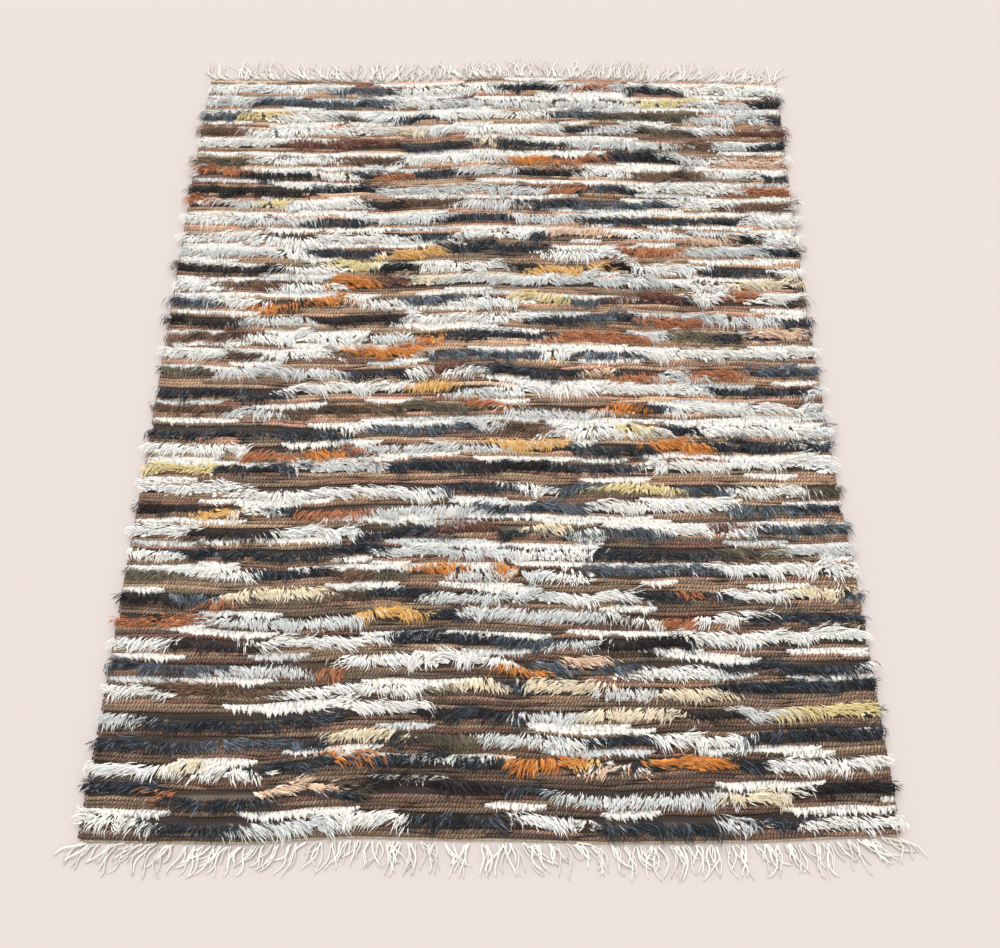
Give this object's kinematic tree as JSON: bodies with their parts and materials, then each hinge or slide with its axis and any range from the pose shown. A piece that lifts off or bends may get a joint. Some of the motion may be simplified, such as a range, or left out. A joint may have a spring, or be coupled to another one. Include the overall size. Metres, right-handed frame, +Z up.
{
  "type": "boucherouite rug",
  "caption": "Flat rectangular hand-woven rag and wool rug with rows of long shaggy pile between low ribbed bands and a white warp fringe at each end.",
  "frame": {"origin": "centre of the woven body on its underside, where it rests on the floor", "axes": "+X across the rug, +Y along its length from the near end to the far end, +Z up out of the pile"},
  "size_m": [1.5536, 2.0431, 0.0279],
  "materials": {
    "pile_yarn": "long shaggy pile in white, grey, navy and rust over brown ribbed bands",
    "fringe_cotton": "matt plied white cotton"
  },
  "bodies": {
    "root": {"rug_body": "pile_yarn", "fringe_near": "fringe_cotton", "fringe_far": "fringe_cotton"}
  },
  "joints": []
}
